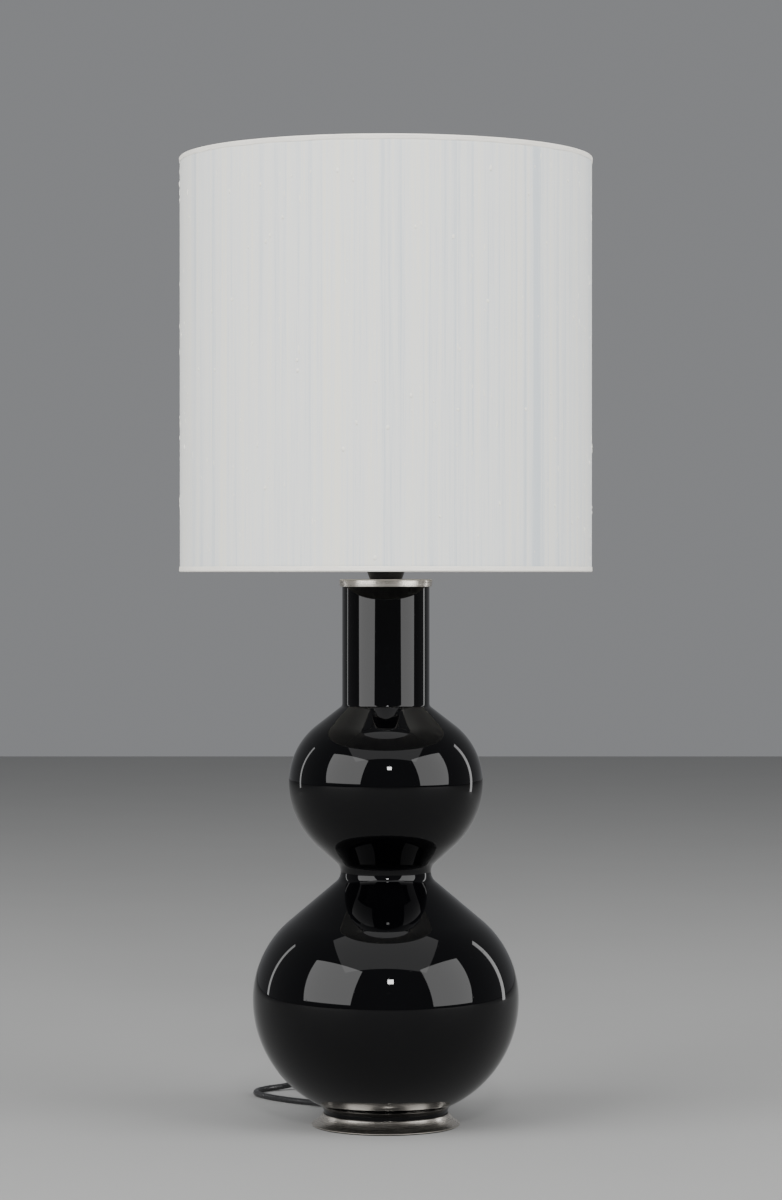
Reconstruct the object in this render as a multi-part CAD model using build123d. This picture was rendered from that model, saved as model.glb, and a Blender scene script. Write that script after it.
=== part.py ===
from build123d import *
import math
import os

# Table lamp: a gloss black double gourd on a flared metal foot, with a drum shade.
# Millimetres. +Z is up, the origin is the centre of the felt pad's underside, -Y is the front.

# ---- foot ----
felt_inset = 2.0
felt_height = 1.0
foot_rim_reach = 11.0
foot_top_radius = 61.0
foot_plate_top = 10.4
foot_plate = 1.4
foot_wall = 1.0
foot_edge = 0.8
flare_bow = 24.0
foot_lip = 1.8
foot_lip_wall = 0.6
weight_gap = 0.8
weight_clearance = 6.0
slot_width = 10.0
slot_overrun = 10.0

# ---- body of black glass ----
glass_wall = 4.0
collar_gap = 0.3
collar_height = 0.9
collar_fillet = 10.0
lower_radius = 129.1
lower_under_arc = 112.1
lower_over_arc = 99.1
lower_shoulder = 49.85
waist_radius = 43.9
waist_arc = 12.0
upper_rise = 48.64
upper_radius = 94.0
upper_under_arc = 84.0
upper_over_arc = 69.0
upper_shoulder = 52.4
neck_radius = 42.4
neck_fillet = 4.0
neck_length = 118.0

# ---- seat ring and neck bung ----
seat_height = 0.8
seat_width = 16.0
spigot_gap = 0.3
spigot_height = 5.0
bung_flange = 1.0
bung_depth = 11.0

# ---- neck cap ----
cap_gap = 1.2
cap_wall = 1.4
cap_skirt = 7.2
cap_taper = 0.5
cap_edge = 1.0

# ---- threaded rod, washer and nut ----
rod_radius = 5.0
rod_wall = 1.5
rod_fit = 0.1
rod_tail = 3.4
washer_reach = 6.0
washer_height = 1.2
nut_wall = 2.0
nut_height = 2.8

# ---- lampholder ----
holder_foot_radius = 15.5
holder_radius = 18.6
holder_flare = 8.3
holder_cap_height = 20.0
holder_wall = 2.0
boss_wall = 3.2
boss_height = 10.5
insert_gap = 0.7
insert_height = 13.0
insert_rise = 13.4
shell_radius = 19.8
shell_height = 33.0
thread_fit = 0.4
flange_reach = 4.2
flange_height = 1.5
flange_rise = 12.6
contact_height = 1.2
leaf_radius = 12.7
lock_screw_radius = 1.5
leaf_width = 5.0
leaf_thickness = 0.6
leaf_height = 7.0
contact_radius = 3.2
shell_shoulder = 3.0
shell_gap = 0.3
shell_step = 0.4
pocket_radius = 11.5
pocket_length = 7.0
pocket_width = 5.0
pocket_depth = 3.0
rod_end_gap = 0.5

# ---- bulb ----
bulb_length = 120.0
bulb_radius = 40.0
bulb_wall = 0.8
bulb_neck_inset = 0.5
cap_thread_radius = 13.1
thread_pitch = 3.629
thread_count = 5
thread_depth = 0.8
thread_root = 0.3
thread_share = 0.42
cap_wall_thickness = 0.6
screw_cap_height = 25.0
insulator_inset = 1.5
insulator_height = 4.4
tip_radius = 4.6
tip_height = 1.6
stem_radius = 5.0
stem_height = 26.0
filament_count = 4
filament_radius = 0.9
filament_length = 42.0
filament_circle = 7.0
filament_lean = 8.0
filament_rise = 0.75
stem_foot = 2.0
stem_gap = 0.8
flank_angle = 30.0

# ---- shade ----
shade_radius = 200.0
shade_height = 400.0
shade_drop = 27.0
cover_thickness = 0.5
liner_thickness = 0.5
hem_thickness = 0.6
hem_height = 5.0
wire_radius = 2.0
fitter_thickness = 1.5
fitter_gap = 0.4
fitter_width = 6.4
arm_count = 3
arm_radius = 1.8
weld_reach = 1.2
ring_fit = 0.08
ring_reach = 5.2
ring_height = 5.5
ring_notches = 12
notch_radius = 1.8
notch_offset = 0.6
arm_notch_gap = 0.3
arm_start = 1.0

# ---- cord and what is on it ----
cord_radius = 3.0
exit_angle = 120.0
exit_height = 5.0
hole_gap = 0.7
relief_inner = 52.0
relief_flange_reach = 0.25
relief_flange_width = 2.0
relief_wall = 0.7
relief_tip_wall = 0.4
relief_tip = 94.0
lead_radius = 1.05
lead_spacing = 1.2
lead_height = 3.4
lead_bend = 6.0

coil_x = -21.8
coil_y = 167.4
coil_outer_turn = 45.3
coil_columns = 4
coil_pitch = 6.2
coil_low = 0.85
coil_slack = 0.15
coil_stub = 6.0
tie_width = 8.0
tie_wall = 0.85
tie_gap = 0.3

switch_x = -48.0
switch_y = 232.0
switch_length = 58.0
switch_width = 24.0
switch_height = 18.0
switch_wall = 1.6
switch_round = 5.0
rocker_length = 20.0
rocker_width = 10.0
rocker_gap = 0.4
rocker_end_gap = 1.2
rocker_tilt = 8.0
rocker_depth = 4.0
rocker_rise = 1.4
rocker_hub = 2.6
rocker_dish = 31.2
rocker_dish_depth = 1.2
ear_length = 6.0
ear_width = 1.4
ear_depth = 6.4
ear_inset = 0.8
rocker_pivot_drop = 4.5
pivot_radius = 1.5
pivot_fit = 0.08
screw_spacing = 38.0
screw_radius = 1.5
screw_head_radius = 2.8
screw_head_height = 1.6
screw_head_sink = 0.3
screw_gap = 0.2
post_wall = 1.6
screw_tip_depth = 6.0
clamp_length = 10.0
clamp_width = 3.2
clamp_height = 3.5
clamp_x = 7.0
clamp_y = 6.5

plug_x = 39.2
plug_rear = 142.8
plug_length = 34.0
plug_width = 35.3
plug_rear_width = 24.0
plug_thickness = 13.7
plug_round = 2.5
plug_boot_length = 24.0
plug_boot_radius = 5.0
plug_height = 6.95
pin_radius = 2.0
pin_length = 19.0
pin_sleeve_length = 10.0
pin_sleeve_radius = 1.75
pin_spacing = 18.6
pin_depth = 8.0
pin_tip_round = 1.2
plug_corner = 5.0
plug_rear_drop = 1.5
plug_taper = 0.45

# Routes along the centre of the cord: foot to switch, switch to coil, and coil to plug.
lead_route = [
    (-47.0, 81.41, exit_height),
    (-58.0, 100.46, 4.9),
    (-76.0, 123.0, 3.3),
    (-100.0, 141.0, 3.1),
    (-127.0, 171.5, 3.1),
    (-135.4, 195.0, 3.1),
    (-127.0, 218.5, 3.1),
    (-105.5, 230.4, 3.9),
    (-90.0, 232.3, 7.8),
    (-77.0, 232.0, 9.0),
]
feed_route = [
    (-19.0, 232.0, 9.0),
    (-5.0, 232.0, 7.4),
    (8.0, 226.6, 4.6),
    (17.9, 216.7, 3.85),
    (23.5, 203.8, 3.85),
    (23.5, 189.8, 3.85),
]
tail_route = [
    (-4.0, 212.0, 10.05),
    (9.0, 212.0, 10.8),
    (22.9, 206.3, 10.8),
    (33.5, 195.7, 9.6),
    (39.2, 181.8, 7.6),
    (39.2, 166.8, plug_height),
]


# ---- sizes that fit other sizes ----
foot_rim_radius = foot_top_radius + foot_rim_reach
felt_radius = foot_rim_radius - felt_inset
cap_radius = neck_radius + cap_gap + cap_wall
rod_bore = rod_radius - rod_wall
washer_radius = rod_radius + washer_reach
weight_bore = washer_radius + weight_clearance
nut_flats = 2 * (rod_radius + nut_wall)
boss_radius = rod_radius + boss_wall
insert_radius = holder_radius - holder_wall - insert_gap
shell_bore = cap_thread_radius + thread_fit
flange_radius = shell_radius + flange_reach
ring_radius = shell_radius + ring_reach
bulb_neck_radius = cap_thread_radius - bulb_neck_inset
insulator_radius = cap_thread_radius - insulator_inset
hole_radius = cord_radius + hole_gap
relief_flange = hole_radius + relief_flange_reach
relief_radius = hole_radius + relief_wall
relief_tip_radius = cord_radius + relief_tip_wall


# ---- heights that follow from the sizes above ----
def arc_point(centre_r, centre_z, radius, angle, inset=0.0):
    """A point at an angle on a round stretch of the outline; a negative radius bends the other way."""
    reach = radius - inset
    r = centre_r + reach * math.cos(math.radians(angle))
    return r, centre_z + reach * math.sin(math.radians(angle))


glass_bottom = foot_plate_top + seat_height
collar_radius = foot_top_radius - foot_lip_wall - collar_gap
under_centre_r = lower_radius - lower_under_arc
over_centre_r = lower_radius - lower_over_arc
collar_reach = lower_under_arc + collar_fillet
collar_angle = math.degrees(math.acos((collar_radius + collar_fillet - under_centre_r) / collar_reach))
collar_z = glass_bottom + collar_height
lower_z = collar_z + collar_reach * math.sin(math.radians(collar_angle))


def cone_rise(r_from, r_to, angle):
    """Height gained along a straight flank whose normal stands at the angle."""
    return abs(r_from - r_to) / math.tan(math.radians(angle))


shoulder_r, shoulder_z = arc_point(over_centre_r, lower_z, lower_over_arc, lower_shoulder)
waist_centre_r = waist_radius + waist_arc
waist_low_r = waist_centre_r - waist_arc * math.cos(math.radians(lower_shoulder))
waist_low_z = shoulder_z + cone_rise(shoulder_r, waist_low_r, lower_shoulder)
waist_z = waist_low_z + waist_arc * math.sin(math.radians(lower_shoulder))
waist_high_r = waist_centre_r - waist_arc * math.cos(math.radians(upper_rise))
waist_high_z = waist_z + waist_arc * math.sin(math.radians(upper_rise))
upper_under_r = upper_radius - upper_under_arc
upper_over_r = upper_radius - upper_over_arc
rise_r = upper_under_r + upper_under_arc * math.cos(math.radians(upper_rise))
rise_z = waist_high_z + cone_rise(waist_high_r, rise_r, upper_rise)
upper_z = rise_z + upper_under_arc * math.sin(math.radians(upper_rise))
top_r, top_z = arc_point(upper_over_r, upper_z, upper_over_arc, upper_shoulder)
neck_centre_r = neck_radius + neck_fillet
neck_low_r = neck_centre_r - neck_fillet * math.cos(math.radians(upper_shoulder))
neck_low_z = top_z + cone_rise(top_r, neck_low_r, upper_shoulder)
neck_centre_z = neck_low_z + neck_fillet * math.sin(math.radians(upper_shoulder))
neck_top = neck_centre_z + neck_length

cap_top = neck_top + bung_flange + cap_wall
cap_bottom = cap_top - cap_skirt
rod_bottom = foot_plate_top - foot_plate - rod_tail
holder_bottom = cap_top
rod_top = holder_bottom + boss_height - rod_end_gap
shell_bottom = holder_bottom + holder_cap_height
shell_top = shell_bottom + shell_height
flange_bottom = shell_bottom + flange_rise
fitter_bottom = flange_bottom + flange_height
ring_bottom = fitter_bottom + fitter_thickness
insert_bottom = holder_bottom + insert_rise
insert_top = insert_bottom + insert_height
bulb_bottom = insert_top + contact_height
shade_bottom = fitter_bottom - shade_drop
shade_top = shade_bottom + shade_height
cover_radius = shade_radius - hem_thickness
liner_radius = cover_radius - cover_thickness
wire_centre = liner_radius - liner_thickness - wire_radius


# ---- helpers ----
standing = (Align.CENTER, Align.CENTER, Align.MIN)


def disc(radius, low, high):
    """A plain round disc about the lamp's axis."""
    return Pos(0, 0, low) * Cylinder(radius, high - low, align=standing)


def band(outer, inner, low, high):
    """A round ring of square section about the lamp's axis."""
    return disc(outer, low, high) - disc(inner, low - 1, high + 1)


def flat(r, z):
    """A point of a turned outline."""
    return r, 0, z


def lines(*points):
    """Straight edges through the points of a turned outline."""
    corners = [flat(r, z) for r, z in points]
    return [Line(a, b) for a, b in zip(corners, corners[1:])]


def bow(start, middle, end):
    """A round edge through three points of a turned outline."""
    return ThreePointArc(flat(*start), flat(*middle), flat(*end))


def turned_solid(edges):
    """A solid turned about Z from a closed row of edges."""
    return revolve(make_face(edges), Axis.Z)


def turned_points(*points):
    """A solid turned about Z from the corners of its section."""
    return turned_solid(lines(*points, points[0]))


def outward(solid):
    """A solid made along +Z, laid along the direction in which the cord leaves the foot."""
    return Pos(0, 0, exit_height) * Rot(0, 0, exit_angle) * Rot(0, 90, 0) * solid


def path_radii(route):
    """The largest round that each corner of a route has room for."""
    radii = []
    points = [Vector(*p) for p in route]
    for before, at, after in zip(points, points[1:], points[2:]):
        turn = (at - before).get_angle(after - at)
        shorter = min((at - before).length, (after - at).length)
        radii.append(0.45 * shorter / math.tan(math.radians(turn) / 2))
    return radii


def tube(route, radius):
    """A round tube along straight runs joined by arcs."""
    radii = path_radii(route)
    path = FilletPolyline(*route, radius=radii)
    start = Plane(origin=path @ 0, z_dir=path % 0)
    solid = sweep(start * Circle(radius), path=path)
    expected = math.pi * radius**2 * path.length
    print(f"tube {path.length:.1f} long, volume ratio {solid.volume / expected:.4f}")
    print("radii", [round(r) for r in radii])
    return solid


# ---- foot ----
def flare_centre():
    """The centre of the flare's hollow bow, outside and above it."""
    rise = foot_plate_top + foot_lip - felt_height - foot_edge
    chord = math.hypot(foot_rim_reach, rise)
    stand = math.sqrt(flare_bow**2 - chord**2 / 4)
    r = foot_top_radius + foot_rim_reach / 2 + stand * rise / chord
    return r, felt_height + foot_edge + rise / 2 + stand * foot_rim_reach / chord


def foot_flare(high, low, inset=0.0):
    """Three points of the flare between two heights, moved in by a wall."""
    centre_r, centre_z = flare_centre()
    heights = (high, (high + low) / 2, low)
    return [(centre_r - math.sqrt((flare_bow + inset) ** 2 - (centre_z - z) ** 2), z) for z in heights]


def felt_pad():
    return disc(felt_radius, 0, felt_height)


def foot_envelope():
    """The solid space inside the foot's outer surface."""
    flare = foot_flare(foot_plate_top + foot_lip, felt_height + foot_edge)
    edges = [bow(*flare)]
    edges += lines(flare[2], (foot_rim_radius, 0), (0, 0), (0, flare[0][1]), flare[0])
    return turned_solid(edges)


def foot_ring():
    plate_low = foot_plate_top - foot_plate
    flare = foot_flare(foot_plate_top + foot_lip, felt_height + foot_edge)
    inner = foot_flare(plate_low, felt_height, foot_wall)
    lip_radius = foot_top_radius - foot_lip_wall
    hole = rod_radius + rod_fit
    edges = [bow(*flare)]
    edges += lines(flare[2], (foot_rim_radius, felt_height), inner[2])
    edges.append(bow(*reversed(inner)))
    edges += lines(
        inner[0],
        (hole, plate_low),
        (hole, foot_plate_top),
        (lip_radius, foot_plate_top),
        (lip_radius, flare[0][1]),
        flare[0],
    )
    hole_length = relief_tip - relief_inner
    cord_hole = Cylinder(hole_radius, hole_length, align=standing)
    return turned_solid(edges) - outward(Pos(0, 0, relief_inner) * cord_hole)


def base_weight():
    low = felt_height
    high = foot_plate_top - foot_plate
    ring = band(foot_top_radius - foot_wall - weight_gap, weight_bore, low, high)
    slot = Box(foot_top_radius + 2 * slot_overrun, slot_width, high * 2)
    return ring - Rot(0, 0, exit_angle) * Pos(foot_top_radius / 2, 0, high / 2) * slot


def strain_relief():
    reach = relief_tip - foot_top_radius
    outer = Pos(0, 0, foot_top_radius) * Cone(relief_radius, relief_tip_radius, reach, align=standing)
    core_length = foot_rim_radius - relief_inner
    core = Pos(0, 0, relief_inner) * Cylinder(hole_radius, core_length, align=standing)
    flange = Pos(0, 0, relief_inner) * Cylinder(relief_flange, relief_flange_width, align=standing)
    boot = outward(outer) - foot_envelope()
    return boot + outward(core) + outward(flange)


def rod():
    return band(rod_radius, rod_bore, rod_bottom, rod_top)


def rod_washer():
    high = foot_plate_top - foot_plate
    return band(washer_radius, rod_radius + rod_fit, high - washer_height, high)


def rod_nut():
    high = foot_plate_top - foot_plate - washer_height
    hexagon = RegularPolygon(nut_flats / 2, 6, major_radius=False)
    nut = Pos(0, 0, high - nut_height) * extrude(hexagon, nut_height)
    return nut - disc(rod_radius, high - nut_height - 1, high + 1)


def inner_leads():
    """Two insulated wires from the strain relief, under the rod and up through it."""
    leads = []
    for side in (-1, 1):
        start = (relief_inner, side * lead_spacing, lead_height)
        corner = (0, side * lead_spacing, lead_height)
        end = (0, side * lead_spacing, insert_bottom)
        path = FilletPolyline(start, corner, end, radius=lead_bend)
        lead = sweep(Plane(origin=path @ 0, z_dir=path % 0) * Circle(lead_radius), path=path)
        leads.append(Rot(0, 0, exit_angle) * lead)
    return leads


# ---- glass body ----
def glass_outline(inset):
    """The double gourd's flank from the collar to the top of the neck, moved in by the wall."""
    stretches = [
        (collar_radius + collar_fillet, collar_z, -collar_fillet, 0, -collar_angle),
        (under_centre_r, lower_z, lower_under_arc, -collar_angle, 0),
        (over_centre_r, lower_z, lower_over_arc, 0, lower_shoulder),
        (waist_centre_r, waist_z, -waist_arc, lower_shoulder, -upper_rise),
        (upper_under_r, upper_z, upper_under_arc, -upper_rise, 0),
        (upper_over_r, upper_z, upper_over_arc, 0, upper_shoulder),
        (neck_centre_r, neck_centre_z, -neck_fillet, upper_shoulder, 0),
    ]
    edges = []
    last = (collar_radius - inset, glass_bottom)
    for r, z, radius, begin, end in stretches:
        first = arc_point(r, z, radius, begin, inset)
        middle = arc_point(r, z, radius, (begin + end) / 2, inset)
        final = arc_point(r, z, radius, end, inset)
        if math.dist(last, first) > 0.001:
            edges += lines(last, first)
        edges.append(bow(first, middle, final))
        last = final
    edges += lines(last, (neck_radius - inset, neck_top))
    return edges


def glass_body():
    outer = glass_outline(0) + lines(
        (neck_radius, neck_top), (0, neck_top), (0, glass_bottom), (collar_radius, glass_bottom)
    )
    inner_neck = neck_radius - glass_wall
    inner_collar = collar_radius - glass_wall
    inner = glass_outline(glass_wall) + lines(
        (inner_neck, neck_top), (0, neck_top), (0, glass_bottom), (inner_collar, glass_bottom)
    )
    return turned_solid(outer) - turned_solid(inner)


def seat_ring():
    outer = collar_radius - glass_wall - spigot_gap
    inner = collar_radius - seat_width
    return turned_points(
        (inner, foot_plate_top),
        (collar_radius, foot_plate_top),
        (collar_radius, glass_bottom),
        (outer, glass_bottom),
        (outer, glass_bottom + spigot_height),
        (inner, glass_bottom + spigot_height),
    )


def neck_bung():
    spigot = neck_radius - glass_wall - spigot_gap
    hole = rod_radius + rod_fit
    return turned_points(
        (hole, neck_top - bung_depth),
        (spigot, neck_top - bung_depth),
        (spigot, neck_top),
        (neck_radius, neck_top),
        (neck_radius, neck_top + bung_flange),
        (hole, neck_top + bung_flange),
    )


def neck_cap():
    hole = rod_radius + rod_fit
    plate_low = cap_top - cap_wall
    return turned_points(
        (hole, plate_low),
        (cap_radius - cap_wall, plate_low),
        (cap_radius - cap_wall - cap_taper, cap_bottom),
        (cap_radius - cap_taper, cap_bottom),
        (cap_radius, cap_top - cap_edge),
        (cap_radius - 0.3 * cap_edge, cap_top - 0.3 * cap_edge),
        (cap_radius - cap_edge, cap_top),
        (hole, cap_top),
    )


# ---- lampholder ----
def holder_cap():
    flare_z = holder_bottom + holder_flare
    boss_top = holder_bottom + boss_height
    floor_top = holder_bottom + holder_wall
    cup = turned_points(
        (rod_radius + rod_fit, holder_bottom),
        (holder_foot_radius, holder_bottom),
        (holder_radius, flare_z),
        (holder_radius, shell_bottom),
        (holder_radius - holder_wall, shell_bottom),
        (holder_radius - holder_wall, flare_z),
        (holder_foot_radius - holder_wall, floor_top),
        (boss_radius, floor_top),
        (boss_radius, boss_top),
        (rod_radius + rod_fit, boss_top),
    )
    return cup - lock_screw_space()


def lock_screw_space():
    """The thread's hole from the back of the cup to the rod."""
    reach = holder_radius + 2 - rod_radius
    hole = Cylinder(lock_screw_radius, reach, align=standing)
    return Pos(0, rod_radius, holder_bottom + boss_height / 2) * Rot(-90, 0, 0) * hole


def lock_screw():
    length = holder_foot_radius - rod_radius
    screw = Cylinder(lock_screw_radius, length, align=standing)
    return Pos(0, rod_radius, holder_bottom + boss_height / 2) * Rot(-90, 0, 0) * screw


def holder_insert():
    block = disc(insert_radius, insert_bottom, insert_top)
    pocket = Box(pocket_length, pocket_width, 2 * pocket_depth)
    pockets = [Pos(0, side * pocket_radius, insert_top) * pocket for side in (-1, 1)]
    return block - pockets


def holder_shell():
    step = insert_top + shell_step
    return turned_points(
        (insert_radius + shell_gap, shell_bottom),
        (holder_radius, shell_bottom),
        (shell_radius, shell_bottom + shell_shoulder),
        (shell_radius, flange_bottom),
        (flange_radius, flange_bottom),
        (flange_radius, fitter_bottom),
        (shell_radius, fitter_bottom),
        (shell_radius, shell_top),
        (shell_bore, shell_top),
        (shell_bore, step),
        (insert_radius + shell_gap, step),
    )


def centre_contact():
    return disc(contact_radius, insert_top, bulb_bottom)


def side_contact():
    """The leaf beside the screw cap, standing on the insert."""
    leaf = Box(leaf_width, leaf_thickness, leaf_height, align=standing)
    return Pos(-leaf_radius, 0, insert_top) * Rot(0, 0, 90) * leaf


def shade_ring():
    outer = disc(ring_radius, ring_bottom, ring_bottom + ring_height)
    for turn in range(ring_notches):
        notch = Pos(ring_radius + notch_offset, 0, ring_bottom) * Cylinder(notch_radius, ring_height * 3)
        outer -= Rot(0, 0, turn * 360 / ring_notches) * notch
    return outer - disc(shell_radius + ring_fit, ring_bottom - 1, ring_bottom + ring_height + 1)


# ---- bulb ----
def bulb_contact():
    return disc(tip_radius, bulb_bottom, bulb_bottom + tip_height)


def bulb_insulator():
    low = bulb_bottom + tip_height
    return Pos(0, 0, low) * Cone(tip_radius + 0.6, insulator_radius, insulator_height, align=standing)


def bulb_cap():
    """The screw shell, its thread drawn as round ridges."""
    low = bulb_bottom + tip_height + insulator_height
    high = bulb_bottom + screw_cap_height
    root = cap_thread_radius - thread_depth
    cup = band(root, root - cap_wall_thickness, low, high)
    half_ridge = thread_pitch * thread_share
    for turn in range(thread_count):
        z = low + (turn + 0.5) * thread_pitch
        inner = root - thread_root
        cup += turned_points((inner, z - half_ridge), (cap_thread_radius, z), (inner, z + half_ridge))
    return cup


def bulb_glass():
    low = bulb_bottom + screw_cap_height
    ball_z = bulb_bottom + bulb_length - bulb_radius
    flank_z = ball_z - bulb_radius * math.sin(math.radians(flank_angle))
    flank_r = bulb_radius * math.cos(math.radians(flank_angle))
    tall = flank_z - low
    inner_neck = bulb_neck_radius - bulb_wall
    neck = Pos(0, 0, low) * Cone(bulb_neck_radius, flank_r, tall, align=standing)
    neck_space = Pos(0, 0, low) * Cone(inner_neck, flank_r - bulb_wall * 1.2, tall, align=standing)
    ball = Pos(0, 0, ball_z) * Sphere(bulb_radius)
    ball_space = Pos(0, 0, ball_z) * Sphere(bulb_radius - bulb_wall)
    return (ball + neck) - (ball_space + neck_space) - disc(inner_neck, low - 1, low + bulb_wall / 2)


def bulb_stem():
    low = bulb_bottom + screw_cap_height - stem_foot
    foot = disc(bulb_neck_radius - bulb_wall - stem_gap, low, low + stem_foot)
    return foot + disc(stem_radius / 2, low + stem_foot, low + stem_height)


def bulb_filaments():
    low = bulb_bottom + screw_cap_height + stem_height * filament_rise
    stick = Rot(filament_lean, filament_lean, 0) * Cylinder(filament_radius, filament_length, align=standing)
    placed = Pos(filament_circle, 0, low) * stick
    return [Rot(0, 0, turn * 360 / filament_count) * placed for turn in range(filament_count)]


# ---- shade ----
def shade_cover():
    return band(cover_radius, liner_radius, shade_bottom + hem_thickness, shade_top - hem_thickness)


def shade_liner():
    inner = liner_radius - liner_thickness
    return band(liner_radius, inner, shade_bottom + hem_thickness, shade_top - hem_thickness)


def hem(edge, inward):
    """A folded tape round the edge and its wire: inward is 1 at the bottom edge and -1 at the top."""
    inner = wire_centre - wire_radius
    skin = hem_thickness
    return turned_points(
        (inner - skin, edge),
        (shade_radius, edge),
        (shade_radius, edge + inward * hem_height),
        (cover_radius, edge + inward * hem_height),
        (cover_radius, edge + inward * skin),
        (inner, edge + inward * skin),
        (inner, edge + inward * hem_height),
        (inner - skin, edge + inward * hem_height),
    )


def top_hem():
    return hem(shade_top, -1)


def bottom_hem():
    """The lower tape, notched where the arms of the spider pass through it."""
    tape = hem(shade_bottom, 1)
    for arm in spider_arms(arm_radius + arm_notch_gap):
        tape -= arm
    return tape


def wire_ring(z):
    return Pos(0, 0, z) * Torus(wire_centre, wire_radius)


def top_ring():
    return wire_ring(shade_top - hem_thickness - wire_radius)


def bottom_ring():
    return wire_ring(shade_bottom + hem_thickness + wire_radius)


def spider_arms(radius):
    """Straight round bars from the fitter ring down to the bottom ring."""
    fitter_radius = shell_radius + fitter_gap + fitter_width
    start = Vector(fitter_radius - arm_start, 0, fitter_bottom + fitter_thickness / 2 - arm_start)
    end = Vector(wire_centre - weld_reach, 0, shade_bottom + hem_thickness + wire_radius)
    bar = Plane(origin=start, z_dir=end - start) * Cylinder(radius, (end - start).length, align=standing)
    return [Rot(0, 0, 90 + turn * 360 / arm_count) * bar for turn in range(arm_count)]


def spider():
    """The fitter ring and its three arms, whose ends are welded to the bottom ring."""
    inner = shell_radius + fitter_gap
    frame = band(inner + fitter_width, inner, fitter_bottom, ring_bottom)
    for arm in spider_arms(arm_radius):
        frame += arm
    return frame


# ---- cord ----
def cord_lead():
    return tube(lead_route, cord_radius)


def cord_feed():
    return tube(feed_route, cord_radius)


def cord_tail():
    return tube(tail_route, cord_radius)


coil_outer = coil_outer_turn + cord_radius
coil_inner = coil_outer_turn - (coil_columns - 1) * coil_pitch - cord_radius
coil_high = coil_low + 2 * cord_radius + coil_pitch


def cord_coil():
    """The tied coil's outer shape, with the two straight stretches that enter and leave it."""
    low = coil_low - coil_slack
    high = coil_high + coil_slack
    ring = Pos(coil_x, coil_y, 0) * band(coil_outer + coil_slack, coil_inner - coil_slack, low, high)
    entry = feed_route[-1]
    entry_stub = Cylinder(cord_radius, entry[1] - coil_y - coil_stub, align=standing)
    leave = tail_route[0]
    leave_stub = Cylinder(cord_radius, leave[0] - coil_x - coil_stub, align=standing)
    ring += Pos(entry[0], coil_y + coil_stub, entry[2]) * Rot(-90, 0, 0) * entry_stub
    return ring + Pos(coil_x + coil_stub, leave[1], leave[2]) * Rot(0, 90, 0) * leave_stub


def cord_tie():
    """A strap round the coil's left side."""
    reach = coil_outer - coil_inner + 2 * (coil_slack + tie_gap)
    space_low = coil_low - coil_slack - tie_gap / 2
    space_high = coil_high + coil_slack + tie_gap
    place = Pos(coil_x - (coil_outer + coil_inner) / 2, coil_y, 0)
    strap = Box(reach + 2 * tie_wall, tie_width, space_high + tie_wall, align=standing)
    space = Pos(0, 0, space_low) * Box(reach, tie_width * 2, space_high - space_low, align=standing)
    return place * (strap - space)


# ---- inline switch ----
def switch_block(wall, low, high):
    """A block with the switch's rounded plan, moved in by a wall."""
    plate = RectangleRounded(switch_length - 2 * wall, switch_width - 2 * wall, switch_round - wall)
    return Pos(switch_x, switch_y, low) * extrude(plate, high - low)


def at_screws(radius, low, high):
    """Two upright cylinders, one at each screw."""
    stick = Cylinder(radius, high - low, align=standing)
    return [Pos(switch_x + side * screw_spacing / 2, switch_y, low) * stick for side in (-1, 1)]


def switch_base():
    middle = switch_height / 2
    half = switch_block(0, 0, middle) - switch_block(switch_wall, switch_wall, middle + 1)
    half += at_screws(screw_radius + post_wall, switch_wall / 2, middle)
    half -= at_screws(screw_radius, screw_head_height, middle + 1)
    return half - at_screws(screw_head_radius, -1, screw_head_height)


def switch_cover():
    """The upper half, with two ears under its opening that hold the rocker's pins."""
    middle = switch_height / 2
    half = switch_block(0, middle, switch_height)
    half -= switch_block(switch_wall, middle - 1, switch_height - switch_wall)
    half += at_screws(screw_radius + post_wall, middle, switch_height - switch_wall / 2)
    opening = Box(rocker_length + 2 * rocker_end_gap, rocker_width + 2 * rocker_gap, switch_height / 2)
    half -= Pos(switch_x, switch_y, switch_height) * opening
    ear = Box(ear_length, ear_width, ear_depth, align=(Align.CENTER, Align.CENTER, Align.MAX))
    ear_y = (rocker_width + ear_width) / 2 + rocker_gap
    for side in (-1, 1):
        half += Pos(switch_x, switch_y + side * ear_y, switch_height - ear_inset) * ear
    bore = Cylinder(pivot_radius + pivot_fit, 2 * ear_y + ear_width)
    half -= Pos(switch_x, switch_y, switch_height - rocker_pivot_drop) * Rot(90, 0, 0) * bore
    half -= at_screws(screw_radius, middle - 1, switch_height - screw_tip_depth / 2)
    return half


def switch_rocker():
    """A see-saw button with a hollowed face, shown with one end pressed in."""
    body = Pos(0, 0, rocker_rise) * Box(rocker_length, rocker_width, rocker_depth, align=standing)
    dish_z = rocker_rise + rocker_depth - rocker_dish_depth + rocker_dish
    dish = Pos(0, 0, dish_z) * Rot(90, 0, 0) * Cylinder(rocker_dish, rocker_width * 2)
    hub = Rot(90, 0, 0) * Cylinder(rocker_hub, rocker_width)
    pins = Rot(90, 0, 0) * Cylinder(pivot_radius, rocker_width + 2 * (rocker_gap + ear_width - screw_gap))
    rocker = (body - dish) + hub + pins
    return Pos(switch_x, switch_y, switch_height - rocker_pivot_drop) * Rot(0, rocker_tilt, 0) * rocker


def switch_screws():
    """Two screws from below that hold the halves together."""
    shank_low = 2 * screw_head_sink
    shanks = at_screws(screw_radius, shank_low, shank_low + switch_height - screw_tip_depth)
    heads = at_screws(screw_head_radius - screw_gap, screw_head_sink, screw_head_height)
    return [shank + head for shank, head in zip(shanks, heads)]


def switch_contacts():
    """Two brass clamps under the rocker, one at each side."""
    clamp = Box(clamp_length, clamp_width, clamp_height, align=standing)
    return [Pos(switch_x + side * clamp_x, switch_y - side * clamp_y, switch_wall) * clamp for side in (-1, 1)]


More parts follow.
